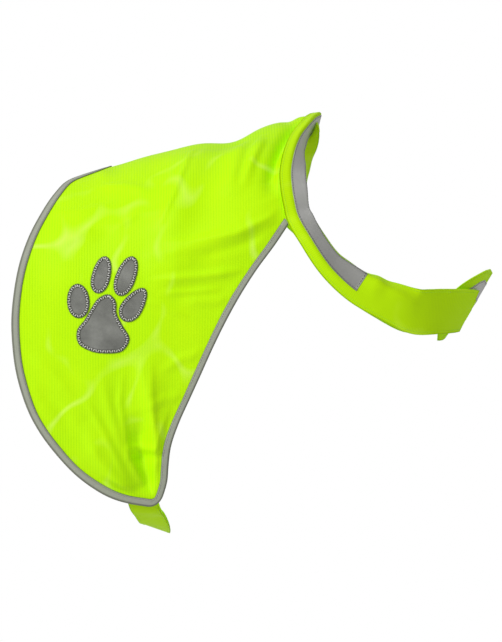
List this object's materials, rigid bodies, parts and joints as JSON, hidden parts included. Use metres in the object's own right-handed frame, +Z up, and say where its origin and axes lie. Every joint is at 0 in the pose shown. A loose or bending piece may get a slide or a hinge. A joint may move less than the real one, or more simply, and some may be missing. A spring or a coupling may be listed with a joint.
{
  "type": "dog safety vest",
  "caption": "Worn-shape high-visibility dog vest: back cloth with two hanging wings, bound edge, neck band with reflective tape, belly strap and paw patches.",
  "frame": {"origin": "on the back line at the withers, where the wearer's back holds the vest up", "axes": "+X to the head along the back, +Y to the wearer's left, +Z up"},
  "size_m": [0.4636, 0.2184, 0.4086],
  "materials": {
    "hi_vis_cloth": "matt fluorescent yellow-green warp knit",
    "hi_vis_band": "matt fluorescent yellow-green warp knit",
    "hi_vis_strap": "matt fluorescent yellow-green elastic",
    "reflective_tape": "smooth grey reflective tape, satin",
    "grey_binding": "grey woven binding, matt",
    "paw_grey": "grey reflective cloth patch, satin"
  },
  "bodies": {
    "root": {"back_panel": "hi_vis_cloth", "neck_band": "hi_vis_band", "neck_tape": "reflective_tape", "edge_binding": "grey_binding", "belly_strap": "hi_vis_strap", "paw_pad": "paw_grey", "paw_toe_1": "paw_grey", "paw_toe_2": "paw_grey", "paw_toe_3": "paw_grey", "paw_toe_4": "paw_grey"}
  },
  "joints": []
}
